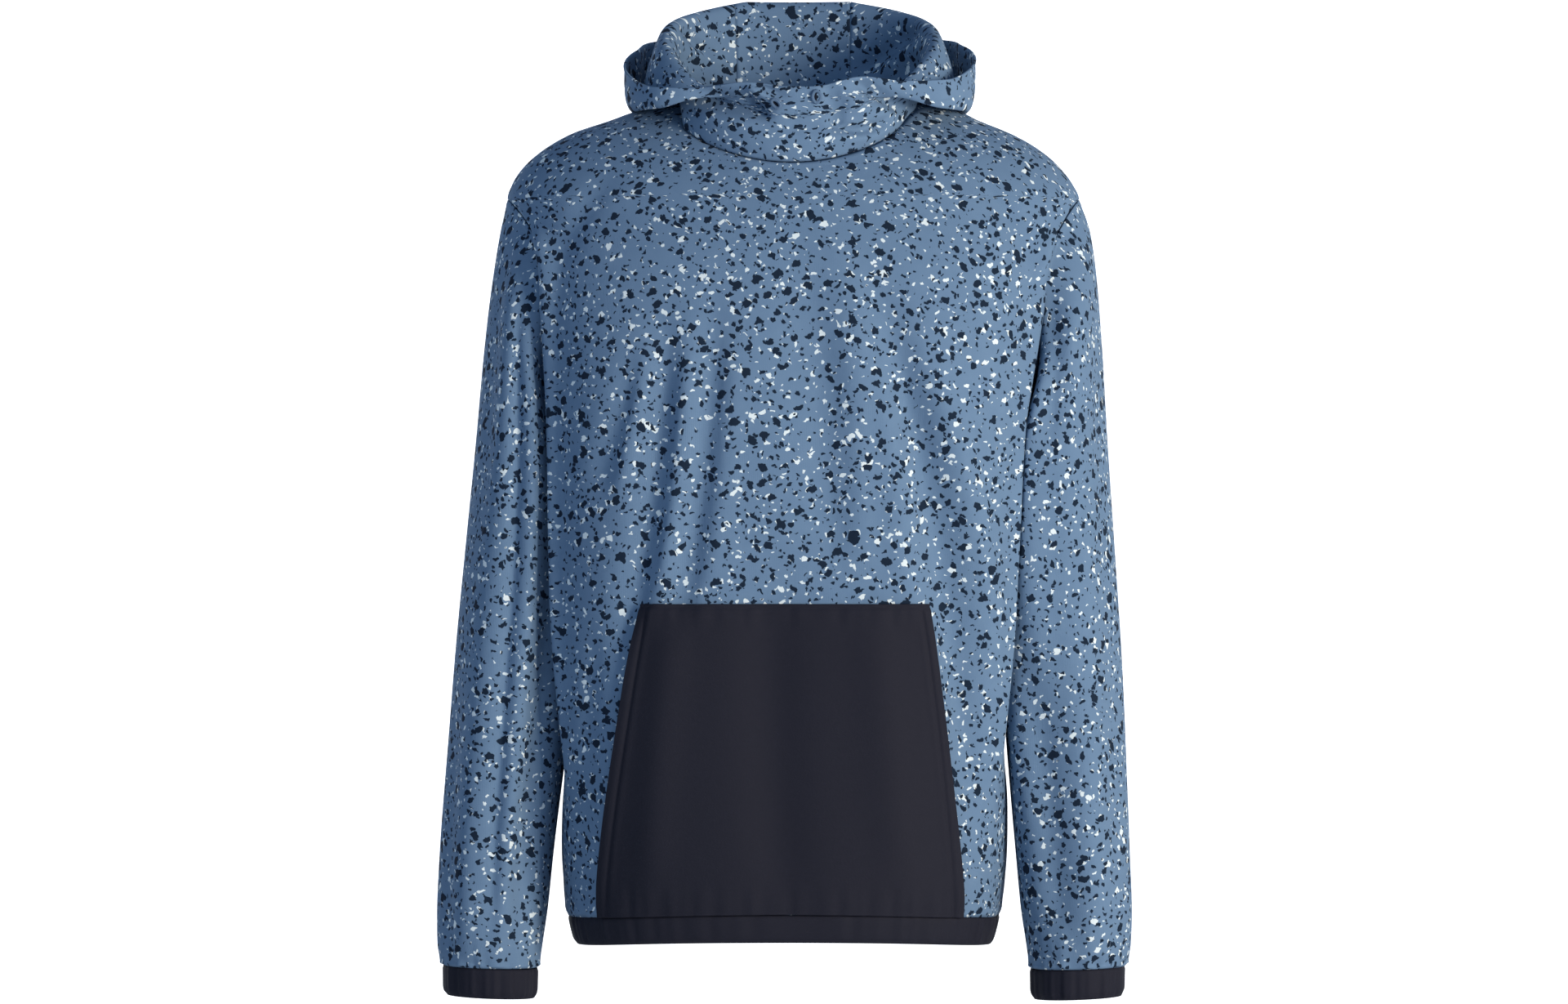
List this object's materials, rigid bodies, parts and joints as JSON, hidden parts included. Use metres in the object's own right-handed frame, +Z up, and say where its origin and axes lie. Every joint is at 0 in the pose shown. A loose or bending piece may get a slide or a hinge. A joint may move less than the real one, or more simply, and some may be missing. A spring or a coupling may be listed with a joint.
{
  "type": "pullover hoodie, worn form",
  "caption": "Hollow worn-form pullover hoodie with long sleeves, lowered hood, front pocket, hem band and cuffs.",
  "frame": {"origin": "the base of the neck, level with the top of the shoulder line, where the wearer holds the garment up", "axes": "+Z up along the wearer's body, -Y out of the chest, +X towards the wearer's left sleeve"},
  "size_m": [0.584, 0.2977, 0.8509],
  "materials": {
    "speckled_knit": "smooth-faced double knit, blue with a scattered navy and off-white speckle print",
    "woven_black": "plain woven blue-black nylon, low sheen, slightly puckered"
  },
  "bodies": {
    "root": {"front": "speckled_knit", "back": "speckled_knit", "sleeve_left": "speckled_knit", "sleeve_right": "speckled_knit", "hood_sides": "speckled_knit", "hood_centre": "speckled_knit", "pocket": "woven_black", "hem_band": "woven_black", "cuff_left": "woven_black", "cuff_right": "woven_black"}
  },
  "joints": []
}
